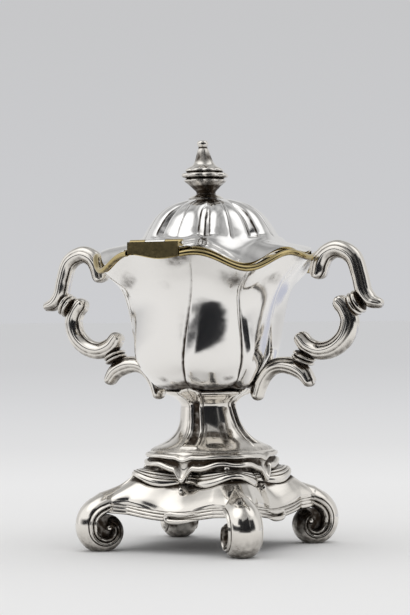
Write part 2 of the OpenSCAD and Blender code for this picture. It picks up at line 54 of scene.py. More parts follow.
# %% Camera
camera_turn, camera_tilt, camera_roll = math.radians(28.63), math.radians(0.12), math.radians(-0.5)
camera_distance, camera_height = 0.7065, 0.0732
to_camera = Vector((math.sin(camera_turn), -math.cos(camera_turn), 0.0))
to_right = Vector((math.cos(camera_turn), math.sin(camera_turn), 0.0))
up = Vector((0.0, 0.0, 1.0))
lens = bpy.data.cameras.new("photo_lens")
lens.sensor_width = 36.0
lens.lens = 132.34
lens.shift_x = -0.00343
camera = bpy.data.objects.new("photo_camera", lens)
camera.location = to_camera * camera_distance + up * camera_height
look = -to_camera + up * math.tan(camera_tilt)
roll = Matrix.Rotation(camera_roll, 4, "Z")
camera.rotation_euler = (look.to_track_quat("-Z", "Y").to_matrix().to_4x4() @ roll).to_euler()
scene.collection.objects.link(camera)
scene.camera = camera
print("camera at", [round(c, 3) for c in camera.location])

# %% [markdown]
# ## Number helpers
# Silver shapes are drawn as outlines and curves. A few small functions ease one value into another, read a
# value from a short table, draw a flowing line through a handful of points, and set an outline in by the
# thickness of the sheet. Angles round the pot are in degrees.


# %% Number helpers
def lerp(a, b, t):
    return a + (b - a) * t


def ease(t):
    t = min(1.0, max(0.0, t))
    return t * t * (3.0 - 2.0 * t)


def bell(x, width):
    return math.exp(-((x / width) ** 2))


def sind(degrees):
    return math.sin(math.radians(degrees))


def cosd(degrees):
    return math.cos(math.radians(degrees))


def read_table(x, pairs):
    if x <= pairs[0][0]:
        return pairs[0][1]
    for (xa, ya), (xb, yb) in zip(pairs, pairs[1:]):
        if x <= xb:
            return lerp(ya, yb, (x - xa) / (xb - xa))
    return pairs[-1][1]


def flowing(points, steps):
    line = []
    for i in range(len(points) - 1):
        a, b = points[max(i - 1, 0)], points[i]
        c, d = points[i + 1], points[min(i + 2, len(points) - 1)]
        for k in range(steps):
            t = k / steps
            line.append(tuple(
                0.5 * (2 * q + (r - p) * t + (2 * p - 5 * q + 4 * r - s) * t * t
                       + (3 * q - p - 3 * r + s) * t ** 3)
                for p, q, r, s in zip(a, b, c, d)))
    return line + [tuple(points[-1])]


def polar(r, degrees, z):
    return Vector((r * cosd(degrees), r * sind(degrees), z))


def set_in(line, depth):
    moved = []
    for i, (r, z) in enumerate(line):
        (ra, za), (rb, zb) = line[max(i - 1, 0)], line[min(i + 1, len(line) - 1)]
        size = math.hypot(rb - ra, zb - za)
        moved.append((r - depth * (zb - za) / size, z + depth * (rb - ra) / size))
    return moved


print("a flowing line through 3 points:", len(flowing([(0, 0), (1, 0), (1, 1)], 4)), "points")

# %% [markdown]
# ## Shaping helpers
# Most of the pot is raised or turned work: an outline spun once round the axis, then pushed in and out
# into panels, lobes and flutes. The handles and feet are cast scrolls: one section drawn along a line.
# Each point also keeps a grime-and-shade value: tarnish, high in the grooves that a polishing cloth can't
# reach, and on cast pieces painted shade on the faces that look down.


# %% Shaping helpers
upright = {"axis": (0, 0, 1), "cent": (0, 0, 0)}


def spin_outline(outline, columns, closed=True):
    bm = bmesh.new()
    row = bm.verts.layers.int.new("row")
    verts = [bm.verts.new((r, 0.0, z)) for r, z in outline]
    for i, v in enumerate(verts):
        v[row] = i
    edges = [bm.edges.new(pair) for pair in zip(verts, verts[1:])]
    if closed:
        edges.append(bm.edges.new((verts[-1], verts[0])))
    bmesh.ops.spin(bm, geom=verts + edges, angle=math.tau / 4, steps=columns // 4, **upright)
    quarter = bm.verts[:] + bm.edges[:] + bm.faces[:]
    bmesh.ops.spin(bm, geom=quarter, angle=math.tau * 0.75, steps=3, use_duplicate=True, **upright)
    bmesh.ops.remove_doubles(bm, verts=bm.verts, dist=1e-4)
    return bm


def blank_rows(count):
    return [(20.0 + 0.01 * i, 25.0 + 0.01 * i) for i in range(count)]


def press(bm, place):
    row, grime_and_shade = bm.verts.layers.int["row"], bm.verts.layers.float.new("grime_and_shade")
    for v in bm.verts:
        degrees = math.degrees(math.atan2(v.co.y, v.co.x)) % 360.0
        v.co, v[grime_and_shade] = place(v[row], degrees)
    return bm


def draw_scroll(rings, grime_and_shade_values, bm=None):
    bm = bm or bmesh.new()
    spot = bm.verts.layers.int.get("spot") or bm.verts.layers.int.new("spot")
    grime_and_shade = bm.verts.layers.float.get("grime_and_shade") or bm.verts.layers.float.new("grime_and_shade")
    ring = [bm.verts.new(p) for p in rings[0]]
    for i, v in enumerate(ring):
        v[spot], v[grime_and_shade] = i, grime_and_shade_values[i]
    edges = [bm.edges.new((ring[i - 1], ring[i])) for i in range(len(ring))]
    bmesh.ops.edgeloop_fill(bm, edges=edges)
    for points in rings[1:]:
        made = bmesh.ops.extrude_edge_only(bm, edges=edges)["geom"]
        edges = [e for e in made if isinstance(e, bmesh.types.BMEdge)]
        for v in made:
            if isinstance(v, bmesh.types.BMVert):
                v.co = points[v[spot]]
    bmesh.ops.edgeloop_fill(bm, edges=edges)
    return bm


def make_piece(name, bm, body, materials, nodes, slot, sharp=48.0, under_shade=0.52):
    bmesh.ops.recalc_face_normals(bm, faces=bm.faces)
    if slot == "cast_silver":
        bm.normal_update()
        grime_and_shade = bm.verts.layers.float["grime_and_shade"]
        # painted shade: cast faces that look down are darkened
        for v in bm.verts:
            v[grime_and_shade] = max(v[grime_and_shade], under_shade * ease((-0.05 - v.normal.z) / 0.75))
    bmesh.ops.scale(bm, vec=(mm, mm, mm), verts=bm.verts)
    for face in bm.faces:
        face.smooth = True
    mesh = bpy.data.meshes.new(name)
    bm.to_mesh(mesh)
    bm.free()
    for material in materials:
        mesh.materials.append(material)
    mesh.set_sharp_from_angle(angle=math.radians(sharp))
    piece = bpy.data.objects.new(name, mesh)
    scene.collection.objects.link(piece)
    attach(piece, body)
    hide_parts(*nodes)
    print(name, len(mesh.polygons), "faces")


def cast_piece(name, bm, nodes, body="pot", sharp=48.0, under_shade=0.52):
    make_piece(name, bm, body, [cast_silver], nodes, "cast_silver", sharp, under_shade)


def circle(count):
    return [math.tau * k / count for k in range(count)]


print("a ring of 8 points starts", [round(t, 2) for t in circle(8)[:3]])

# %% [markdown]
# ## Finishes
# Silver is a mirror, so its look comes from its small faults: hand work leaves soft waves in the sheet,
# polishing leaves a fine bloom, and brown-black tarnish stays in every groove. The same dark mask also
# carries painted shade and painted reflection in hollows and on faces that look down. These are two node
# groups, and each material sets its own values on them.


# %% Tarnish-and-shade and hand-work groups
def new_group(name, inputs, outputs):
    group = bpy.data.node_groups.new(name, "ShaderNodeTree")
    for label, value in inputs:
        group.interface.new_socket(label, in_out="INPUT", socket_type="NodeSocketFloat").default_value = value
    for label in outputs:
        group.interface.new_socket(label, in_out="OUTPUT", socket_type="NodeSocketFloat")
    ends = group.nodes.new("NodeGroupInput"), group.nodes.new("NodeGroupOutput")
    return group, group.nodes, group.links, *ends


def math_node(nodes, links, kind, *values):
    node = nodes.new("ShaderNodeMath")
    node.operation = kind
    for socket, value in zip(node.inputs, values):
        if isinstance(value, (int, float)):
            socket.default_value = value
        else:
            links.new(value, socket)
    return node.outputs[0]


def noise_node(nodes, links, scale, detail, vector=None):
    node = nodes.new("ShaderNodeTexNoise")
    node.inputs["Detail"].default_value = detail
    links.new(vector or nodes.new("ShaderNodeTexCoord").outputs["Object"], node.inputs["Vector"])
    if isinstance(scale, (int, float)):
        node.inputs["Scale"].default_value = scale
    else:
        links.new(scale, node.inputs["Scale"])
    return node.outputs["Fac"]


# the mask darkens by the grime-and-shade value, so it carries tarnish and painted shade
tarnish_and_shade_group, nodes, links, given, put = new_group("tarnish_and_shade", [("Amount", 1.0), ("Scale", 500.0)], ["Mask"])
grime_and_shade_attribute = nodes.new("ShaderNodeAttribute")
grime_and_shade_attribute.attribute_name = "grime_and_shade"
patches = noise_node(nodes, links, given.outputs["Scale"], 5.0)
uneven = math_node(nodes, links, "MULTIPLY_ADD", patches, 1.5, 0.2)
soiled_and_shaded = math_node(nodes, links, "MULTIPLY", grime_and_shade_attribute.outputs["Fac"], uneven)
soiled_and_shaded = math_node(nodes, links, "MULTIPLY", soiled_and_shaded, given.outputs["Amount"])
limit = nodes.new("ShaderNodeMapRange")
limit.interpolation_type = "SMOOTHSTEP"
limit.inputs["From Min"].default_value = 0.08
limit.inputs["From Max"].default_value = 0.85
links.new(soiled_and_shaded, limit.inputs["Value"])
links.new(limit.outputs["Result"], put.inputs["Mask"])

hand_group, nodes, links, given, put = new_group(
    "hand_work", [("Wave", 170.0), ("Bloom", 900.0)], ["Height", "Bloom"])
links.new(noise_node(nodes, links, given.outputs["Wave"], 1.5), put.inputs["Height"])
links.new(noise_node(nodes, links, given.outputs["Bloom"], 4.0), put.inputs["Bloom"])
print("groups:", [g.name for g in bpy.data.node_groups])


# %% Silver and gilt materials
def silver_finish(name, colour, tarnish_and_shade, polish, wave, soil_and_shade, soil_and_shade_scale, spread=0.10):
    material = bpy.data.materials.new(name)
    material.use_nodes = True
    nodes, links = material.node_tree.nodes, material.node_tree.links
    shader = nodes["Principled BSDF"]
    shader.inputs["Metallic"].default_value = 1.0
    soiled_and_shaded = nodes.new("ShaderNodeGroup")
    soiled_and_shaded.node_tree = tarnish_and_shade_group
    soiled_and_shaded.inputs["Amount"].default_value = soil_and_shade
    soiled_and_shaded.inputs["Scale"].default_value = soil_and_shade_scale
    worked = nodes.new("ShaderNodeGroup")
    worked.node_tree = hand_group
    tint = nodes.new("ShaderNodeMix")
    tint.data_type = "RGBA"
    tint.inputs["A"].default_value = (*colour, 1.0)
    tint.inputs["B"].default_value = (*tarnish_and_shade, 1.0)
    links.new(soiled_and_shaded.outputs["Mask"], tint.inputs["Factor"])
    links.new(tint.outputs["Result"], shader.inputs["Base Color"])
    bloom = math_node(nodes, links, "MULTIPLY_ADD", worked.outputs["Bloom"], spread, polish - spread / 2)
    dull = math_node(nodes, links, "MULTIPLY_ADD", soiled_and_shaded.outputs["Mask"], 0.35, bloom)
    links.new(dull, shader.inputs["Roughness"])
    bump = nodes.new("ShaderNodeBump")
    bump.inputs["Strength"].default_value = 1.0
    bump.inputs["Distance"].default_value = wave
    links.new(worked.outputs["Height"], bump.inputs["Height"])
    links.new(bump.outputs["Normal"], shader.inputs["Normal"])
    return material


# dark colours for tarnish and for painted shade
brown_black, brown = (0.05, 0.036, 0.025), (0.07, 0.045, 0.02)
# name, colour, tarnish and painted shade colour, roughness, waves in metres, soil and painted shade,
# scale of the soil and painted shade, spread of the roughness
bowl_silver = silver_finish("bowl_silver", (0.92, 0.90, 0.87), brown_black, 0.13, 0.00010, 1.0, 500.0)
lid_silver = silver_finish("lid_silver", (0.94, 0.93, 0.915), brown_black, 0.10, 0.00010, 1.0, 500.0)
cast_silver = silver_finish("cast_silver", (0.84, 0.805, 0.75), brown_black, 0.13, 0.00008, 1.1, 600.0)
gilt = silver_finish("gilt", (0.56, 0.45, 0.22), brown, 0.13, 0.00005, 1.0, 700.0, 0.06)
# the hinge plate's gilt is a darker copy of the gilt: painted shade
shaded_gilt_plate = silver_finish("shaded_gilt_plate", (0.5, 0.4, 0.2), brown, 0.2, 0.00005, 1.0, 700.0)
plain_silver = silver_finish("plain_silver", (0.88, 0.87, 0.85), brown_black, 0.2, 0.00003, 1.0, 800.0)
print("finishes:", [m.name for m in bpy.data.materials if m.name.endswith(("silver", "gilt", "plate"))])

# %% [markdown]
# ## Bowl
# The bowl was raised from sheet: a tulip outline with eight panels, whose creases lean as they climb.
# One spin makes the tulip, inside and outside. Then each panel swells and twists between its creases, its
# foot hangs in a shallow pocket, and the lip follows the wave of the rim. The lists give the angle of each
# crease at the top and the foot and how sharp it is; the far half repeats the near one. The inside is gilt.

# %% Bowl
seat_z, rim_z, bowl_h, bowl_sheet = 49.35, 89.85, 40.5, 0.95
panel_turn, panels = 45.0, 8
crease_top, crease_foot = [-135, -70, -40, -2], [-152, -84, -30, -6]
crease_mark = [0.15, 1.0, 1.0, 0.5]


def rim_wave(a):
    lean = a - 4.0
    return 1.8 * (cosd(4 * lean) - 0.53) - 1.45 * cosd(8 * lean)


def crease(p, s):
    return lerp(crease_foot[p % 4], crease_top[p % 4], s) + 180.0 * (p // 4)


bowl_curve = flowing([(11.43, 49.35), (16.383, 49.836), (19.406, 53.4), (22.2, 59.718), (25.019, 75.27),
                      (27.149, 81.5475), (30.17, 86.0025), (33.35, 89.85)], 9)
bowl_rows = [(0.0, seat_z), (6.0, seat_z)] + bowl_curve
bowl_outer = len(bowl_rows)
bowl_rows += [(33.2, 90.5)] + set_in(bowl_curve, bowl_sheet)[::-1] + [(0.0, seat_z + bowl_sheet)]


# Stains: blots below the lip, a darker band at the foot and small marks by the leaf tips. The dark line down
# each crease is tarnish, and grows towards the foot as painted reflection.
def bowl_stain_and_shade(turned, z, line, climb):
    blot = sind(turned * 7.0 + z * 9.0) * sind(turned * 3.0 - z * 23.0 + 40.0)
    stain = 0.55 * max(0.0, blot) * ease((z - 78.0) / 7.0) + 0.75 * ease((51.5 - z) / 1.5)
    stain += 0.5 * max(0.0, sind(turned * 11.0 + z * 31.0)) * bell(z - 52.6, 1.1)
    return max(line * (0.35 + 0.65 * (1.0 - climb)), stain)


def bowl_place(i, a):
    r, z = bowl_rows[i]
    p, share = int(a // panel_turn), (a % panel_turn) / panel_turn
    k = share - 0.13 * math.sin(math.tau * share)
    climb = ease((z - seat_z) / bowl_h)
    turned = lerp(crease(p, climb), crease(p + 1, climb), k)
    fade = ease((z - seat_z) / 6.885) * ease((rim_z + 1.0 - z) / 10.125)
    mark = lerp(crease_mark[p % 4], crease_mark[(p + 1) % 4], k)
    line = mark * bell(min(k, 1.0 - k), 0.022)
    twist = 0.3 * (k - 0.7) * (1.0 - (2 * k - 1) ** 4) * max(-6.5, min(6.5, z - 66.0 - 8.0 * k))
    depth = fade * (lerp(0.35, 1.0, mark) * abs(2 * k - 1) ** 5 + 0.3 * line - twist)
    lift = rim_wave(turned) * ease((z - 74.46) / 15.39)
    pocket = 1.7 * (2 * k - 1) ** 2 * (1.0 - ease((z - seat_z - 1.0) / 9.0)) * ease((r - 11.4) / 5.0)
    soil_and_shade = bowl_stain_and_shade(turned, z, line, climb) if i < bowl_outer else 0.15
    return polar(r - depth, turned, z + lift + pocket), soil_and_shade


bm = press(spin_outline(bowl_rows, panels * 44, closed=False), bowl_place)
row = bm.verts.layers.int["row"]
for face in bm.faces:
    face.material_index = 1 if min(v[row] for v in face.verts) >= bowl_outer - 1 else 0
make_piece("raised_bowl", bm, "pot", [bowl_silver, gilt], ["bowl"], "sheet_silver", sharp=75.0)

# %% [markdown]
# ## Rim edge
# A gilt wire is rolled round the lip. It stops on each side of the hinge plate, so a small ring section is
# spun through all but that gap, lifted by the same wave as the lip, and closed at its two ends.

# %% Rim edge
plate_half, rim_r = 9.1, 34.5
edge_sides, edge_thick, edge_r, edge_z = 20, 0.9, 34.6, 90.35
gap = math.degrees(math.asin(plate_half / rim_r))
bm = bmesh.new()
grime_and_shade = bm.verts.layers.float.new("grime_and_shade")
ring = [bm.verts.new((edge_r + edge_thick * math.sin(t), 0.0, edge_z + edge_thick * math.cos(t)))
        for t in circle(edge_sides)]
edges = [bm.edges.new((ring[i - 1], ring[i])) for i in range(edge_sides)]
bmesh.ops.spin(bm, geom=ring + edges, angle=math.radians(360 - 2 * gap), steps=300, **upright)
bmesh.ops.rotate(bm, verts=bm.verts, cent=(0, 0, 0), matrix=Matrix.Rotation(math.radians(gap - 90), 3, "Z"))
bmesh.ops.holes_fill(bm, edges=[e for e in bm.edges if e.is_boundary], sides=edge_sides)
for v in bm.verts:
    # the lower half of the wire is painted darker: painted reflection
    v[grime_and_shade] = 0.7 * ease((90.3 - v.co.z) / 0.9)
    v.co.z += rim_wave(math.degrees(math.atan2(v.co.y, v.co.x)))
make_piece("gilt_rim_edge", bm, "pot", [gilt], ["rim_wire"], "gilt_edge")

# %% [markdown]
# ## Lid
# The lid is a dome on a wavy flange. Eight wide lobes, each with a thin crease down its middle, are divided
# by narrow flutes with rounded ends, and a straight notch clears the hinge. The relief is pressed into the
# spun dome along its own normals, and the dome leans a little to one side, as the worn one in the photo does.

# %% Lid
lid_top, lid_sheet, stud_hole = 108.45, 0.9, 1.35
lobe_turn, flute_turn = 45.0, 5.0
hinge_at, notch_turn, notch_r = 270.0, 20.99, 30.045
lid_curve = flowing([(33.0, 92.094), (30.888, 92.82), (26.6, 93.9), (23.2, 95.1), (20.9, 96.7), (18.9, 99.9),
                     (15.9, 103.7), (11.6, 106.7), (6.014, lid_top)], 8) + [(stud_hole, lid_top)]
lid_under = [(max(r, stud_hole), z) for r, z in set_in(lid_curve, lid_sheet)]
lid_count = len(lid_curve)


def lid_place(i, a):
    outside = i < lid_count
    j = i if outside else 2 * lid_count - 1 - i
    (r, z), (under_r, under_z) = lid_curve[j], lid_under[j]
    from_lobe = abs((a + lobe_turn / 2) % lobe_turn - lobe_turn / 2)
    across = lobe_turn / 2 - from_lobe
    end = min(ease((z - 95.9) / 2.6), ease((107.9 - z) / 4.0))
    half = flute_turn * math.sqrt(max(0.0, 2 * end - end * end)) + 1e-6
    dome = ease((z - 96.0) / 1.6) * ease((lid_top - z) / 3.0)
    inside = max(0.0, 1.0 - (across / half) ** 2) * end
    sink = 0.8 * (from_lobe / 17.5) ** 4 * dome + 0.7 * inside + 0.2 * bell(from_lobe, 1.5) * dome
    deep = sink + (0.0 if outside else lid_sheet)
    at_r, at_z = r + (under_r - r) / lid_sheet * deep, z + (under_z - z) / lid_sheet * deep
    turn = abs(a - hinge_at)
    if turn < notch_turn:
        at_r = min(at_r, (notch_r - (0.0 if outside else lid_sheet)) / cosd(turn))
    edge, slit = bell(across - half, 0.8) * end, 0.95 * bell(across, 0.9) * inside
    soil_and_shade = max(edge, slit, 0.75 * bell(from_lobe, 0.6) * dome) if outside else 0.1
    lift = rim_wave(a) * ease((r - 15.0) / 18.0)
    lean = 1.4 + 0.8 * math.cos(math.radians(a) - camera_turn)
    lean *= ease((26.0 - r) / 5.0) * ease((r - 3.0) / 5.0)
    return polar(max(at_r, stud_hole), a, at_z + lift) + to_right * lean, soil_and_shade


bm = press(spin_outline(lid_curve + lid_under[::-1], 480), lid_place)
make_piece("fluted_lid", bm, "lid", [lid_silver], ["lid"], "sheet_silver")

# %% [markdown]
# ## Finial
# The finial is a cast baluster with three lobed rings and a slim neck. The outline is spun, each ring is
# pressed into eight lobes, and the whole leans a little, as the bent one in the photo does.

# %% Finial
finial_foot, finial_tip = 108.5, 126.9
finial_rows = flowing([
    (0.0, finial_foot), (5.2, finial_foot), (5.15, 109.0), (4.2, 109.6), (3.1, 110.1), (3.0, 110.7),
    (3.3, 111.4), (4.0, 112.4), (5.0, 113.3), (5.8, 114.0), (5.85, 114.5), (5.2, 114.95), (6.3, 115.4),
    (6.55, 115.95),
    (6.2, 116.5), (5.0, 116.9), (5.35, 117.3), (5.2, 117.8), (4.5, 118.3), (3.5, 118.9), (2.75, 119.8),
    (2.2, 121.3), (1.8, 122.8), (1.45, 124.0), (1.2, 124.6), (1.35, 125.1), (1.55, 125.7), (1.45, 126.3),
    (1.0, 126.75), (0.0, finial_tip)], 4)
finial_rows = [(max(r, 0.0) * lerp(1.0, 1.14, ease((z - 110.5) / 1.5)), min(max(z, finial_foot), finial_tip))
               for r, z in finial_rows]
# height, width and amount of each dark ring; the narrow ones are tarnish in grooves, the broad one on the cup
# is painted shade and the one on the slim neck painted reflection
finial_tarnish_and_shade = [(110.6, 0.7, 0.9), (114.95, 0.3, 0.95), (116.9, 0.3, 0.95), (112.2, 1.1, 0.8),
               (121.6, 1.9, 0.62), (124.6, 0.35, 0.8)]


def finial_place(i, a):
    r, z = finial_rows[i]
    lobed = ease((z - 112.5) / 1.5) * ease((119.0 - z) / 1.0)
    r *= 1.0 - 0.10 * (1.0 - abs(cosd(4 * a))) * lobed
    soil_and_shade = sum(amount * bell(z - at, width) for at, width, amount in finial_tarnish_and_shade)
    return polar(r, a, z) - to_right * max(0.0, z - 110.0) * 0.06, min(1.0, soil_and_shade)


bm = press(spin_outline(finial_rows, 96, closed=False), finial_place)
bmesh.ops.create_cone(bm, cap_ends=True, segments=32, radius1=1.2, radius2=1.2, depth=4.5,
                      matrix=Matrix.Translation((0, 0, 106.8)))
cast_piece("cast_finial", bm, ["finial"], "lid", sharp=40.0)

# %% [markdown]
# ## Stem and socket ring
# The stem is a waisted spool. A sunk flute with a raised border faces each handle, the hinge and the back.
# At the top the flutes end in leaves, and the stem rolls out in a lip that rises over them. The relief is
# measured as a distance from the flute's outline, so its border keeps one width as the flute narrows. Below
# its waist the stem moves a little to one side, as in the photo, and the tiers under it move with it.

# %% Stem and socket ring
stem_z, stem_h, side_set = 30.25, 18.0, 1.1
stem_curve = flowing([
    (17.6, 30.3), (18.2, 30.45), (18.1, 30.75), (16.9, 31.6), (14.5, 33.0), (12.8, 34.2), (11.5, 35.5),
    (10.6, 36.7), (10.0, 37.9), (9.5, 39.2), (9.2, 40.4), (8.95, 41.6), (8.7, 42.9), (8.5, 44.1), (8.8, 45.1),
    (9.9, 46.1), (11.5, 46.7), (12.7, 46.95), (13.4, 47.35), (13.5, 47.75), (13.1, 48.1), (12.3, 48.15),
    (11.6, 47.95), (11.2, 48.25)], 6)
stem_outer = len(stem_curve)
stem_rows = stem_curve + [(9.5, 48.25), (6.6, 44.0), (6.9, 40.0), (7.6, 37.0), (9.2, 34.0), (12.6, 31.2),
                          (15.0, stem_z)]
flute_half = [(0.0, 2.0), (0.12, 1.95), (0.3, 1.5), (0.5, 1.25), (0.75, 1.2), (0.86, 1.7), (0.94, 2.8),
              (1.0, 3.6)]


def set_off(z):
    return to_right * side_set * ease((46.0 - z) / 13.0)


def stem_place(i, a):
    r, z = stem_rows[i]
    if i >= stem_outer:
        return polar(r, a, z) + set_off(z), 0.6
    s = (z - stem_z) / stem_h
    r -= 1.15 * cosd(4 * a) * ease((33.4 - z) / 2.8)
    aside = math.radians(abs((a + 43.0) % 90.0 - 45.0)) * r
    half = read_table(s, flute_half)
    out = max(aside - half, (0.115 - s) * stem_h * 1.25)
    leaf = ease((s - 0.8) / 0.12)
    relief = -0.65 * ease(-out / 0.6) * (1.0 - leaf) + 0.42 * bell(out - 0.4, 0.42) * ease((1.0 - s) / 0.06)
    relief += 0.35 * leaf * ease(-out / 1.5)
    # Painted shade and reflection: the flutes' insides, a streak down each panel and the recess in the lip's
    # top are darkened. The stem is also darker towards its foot. The lines beside the borders and down the
    # leaves are tarnish.
    soil_and_shade = 0.72 * ease(-out / 0.4) * (1.0 - leaf)
    soil_and_shade += 0.75 * bell(aside - half - 1.05, 0.28) * ease((s - 0.1) / 0.05)
    reflection_streak = bell(math.radians(45.0) * r - aside - 0.3, 1.1) + 0.8 * bell(out - 2.0, 0.5)
    soil_and_shade += 0.6 * reflection_streak * ease((s - 0.06) / 0.1) * ease((0.66 - s) / 0.3) + 0.38 * ease((0.12 - s) / 0.08)
    soil_and_shade += 0.9 * ease((i - stem_outer + 11.0) / 4.0) + 0.5 * leaf * bell(aside, 0.35)
    rise = (0.9 + 1.3 * ease(1.0 - aside / 4.6)) * ease((z - 45.6) / 2.2)
    return polar(r + relief, a, z + rise) + set_off(z), min(1.0, soil_and_shade)


bm = press(spin_outline(stem_rows, 288), stem_place)
cast_piece("fluted_stem", bm, ["stem"], under_shade=0.1)

socket = [(9.4, 48.3), (11.2, 48.3), (11.9, 48.45), (12.2, 48.8), (11.9, 49.15), (11.2, 49.3), (9.4, 49.3)]
bm = press(spin_outline(socket, 128), lambda i, a: (polar(socket[i][0], a, socket[i][1]), 0.8))
cast_piece("socket_ring", bm, ["bowl_socket"])

# %% [markdown]
# ## Draped tier
# The upper tier of the plinth hangs like cloth: a thin fold runs round under the stem, a dark cove under it,
# and below them a rolled hem that swags and drops in a tongue on each side. The cove, the underside of the
# hem and the join with the stem are darkened with tarnish and painted shade, less on the tongues. Each row of
# the outline has an offset from the tier's edge, a height, its share of the hem's drop, and its soil and
# painted shade. The share shrinks up the tier, so the fold keeps its size and the tongue stays smooth.

# %% Draped tier
def tier_at(a):
    return 20.2 - 1.15 * cosd(4 * a)


def from_side(a):
    return abs((a + 45.0) % 90.0 - 45.0)


def hem_drop(a):
    return 0.75 * (1 + cosd(4 * a)) + 3.75 * ease(1.0 - from_side(a) / 11.0) ** 1.2


def bead(offset, height, wide, tall):
    return [(offset + wide * cosd(t), height + tall * sind(t)) for t in (-85, -60, -35, -10, 15, 40, 65)]


drape_rows = [(-2.4, 27.6, 1.0, 0.8), (-1.6, 26.3, 1.0, 0.8)]
drape_rows += [(*spot, 1.0, 0.0) for spot in bead(-0.75, 27.05, 0.95, 0.95)]
drape_rows += [(-0.85, 27.98, 0.9, 0.5), (-1.25, 28.15, 0.75, 0.85), (-1.45, 28.4, 0.62, 0.9),
               (-1.4, 28.65, 0.5, 0.85), (-1.05, 28.85, 0.4, 0.6)]
drape_rows += [(*spot, 0.25, 0.0) for spot in bead(-0.75, 29.35, 0.5, 0.5)]
drape_rows += [(-1.2, 29.9, 0.12, 0.5), (-1.55, 30.15, 0.06, 0.1), (-1.95, 30.45, 0.02, 0.1),
               (-2.3, 30.6, 0.0, 0.3), (-3.2, 30.5, 0.0, 0.5)]
drape_outer = len(drape_rows)
drape_hub = [(16.6, 30.2), (12.5, 30.2), (12.5, 29.0), (16.5, 28.6)]


def drape_place(i, a):
    if i >= drape_outer:
        r, z = drape_hub[i - drape_outer]
        return polar(r, a, z) + set_off(z), 0.6
    offset, z, share, soil_and_shade = drape_rows[i]
    tongue = 0.7 * ease(1.0 - from_side(a) / 12.0) * min(1.0, share + 0.2)
    wave = 0.35 * share * sind(12.0 * a + 40.0)
    drop = 0.3 * ease((30.1 - z) / 0.8) + share * hem_drop(a) - wave
    soil_and_shade *= 1.0 - 0.75 * ease(1.0 - from_side(a) / 8.0) * ease(share / 0.4)
    return polar(max(tier_at(a) + offset + tongue, 16.7), a, z - drop) + set_off(z), soil_and_shade


bm = press(spin_outline(blank_rows(drape_outer + len(drape_hub)), 480), drape_place)
cast_piece("draped_tier", bm, ["plinth_drape"])

# %% [markdown]
# ## Step tier
# The lower tier is a four-cornered cushion with two thin beads along its top. It swags between its corners,
# which reach out over the feet, and a small knob hangs under the hem by each one. Each row of the outline has
# an offset from the tier's edge, its part of the tier's height, and its soil and painted shade: painted shade
# under the cushion and where the drape sits on it, tarnish in the grooves by the beads.

# %% Step tier
def to_corner(a):
    return (1 - cosd(4 * a)) / 2


def step_at(a):
    return 21.8 - 3.9 * cosd(4 * a) - 1.7 * ((1 + cosd(4 * a)) / 2) ** 5


def step_low(a):
    return 20.4 - 0.65 * (1 - cosd(8 * a)) + 1.9 * to_corner(a) ** 4


cushion = 0.62
step_rows = [(-2.4, -0.02, 0.6), (-1.3, -0.02, 0.5), (-0.6, 0.05, 0.1), (-0.15, 0.17, 0.0), (0.0, 0.32, 0.0),
             (-0.1, 0.47, 0.0), (-0.42, 0.57, 0.0), (-0.8, cushion, 0.7)]
step_rows += [(*spot, 0.0) for spot in bead(-1.1, 0.71, 0.5, 0.075)] + [(-1.6, 0.8, 0.7)]
step_rows += [(*spot, 0.0) for spot in bead(-1.95, 0.87, 0.45, 0.06)]
step_rows += [(-2.4, 0.93, 0.6), (-3.0, 0.98, 0.3), (-3.6, 1.02, 0.7)]
step_outer = len(step_rows)
step_hub = [(15.4, 27.4), (12.5, 27.4), (12.5, 20.25), (14.0, 20.25)]


def step_place(i, a):
    grow = to_corner(a)
    if i >= step_outer + 1:
        r, z = step_hub[i - step_outer - 1]
        return polar(r, a, z) + set_off(z), 0.6
    if i == step_outer:
        return polar(tier_at(a) - 1.4, a, 26.9) + set_off(26.9), 0.7
    offset, part, soil_and_shade = step_rows[i]
    low, top = step_low(a), 23.7 + 1.3 * grow
    middle = low + lerp(1.7, 2.1, grow) + 0.55 * (1 - cosd(8 * a))
    if part < cushion:
        z = lerp(low, middle, part / cushion)
    else:
        z = lerp(middle, top, (part - cushion) / (1.0 - cushion))
    return polar(max(step_at(a) + offset, 13.2), a, z) + set_off(z), soil_and_shade


bm = press(spin_outline(blank_rows(step_outer + 1 + len(step_hub)), 384), step_place)
for corner in (45, 135, 225, 315):
    spot = polar(20.6, corner - 4, 25.3)
    knob = Matrix.Translation(spot + set_off(spot.z)) @ Matrix.Diagonal((1.0, 1.0, 1.1, 1.0))
    bmesh.ops.create_uvsphere(bm, u_segments=24, v_segments=16, radius=1.05, matrix=knob)
cast_piece("step_tier", bm, ["plinth_step"])

# %% [markdown]
# ## Base shell
# Four arms flow from under the step to the feet, with hollow sides between them and a strap of three ridges
# along the lower edge. Each row has a radius and height in the middle of a side, the same on an arm's crest,
# and its soil and painted shade, and blends from the one to the other. Tarnish lies between the strap's
# ridges;
# the top rows, under the step, are painted shade, lighter in the middle of each side. A small button sits
# under each tongue of the drape.

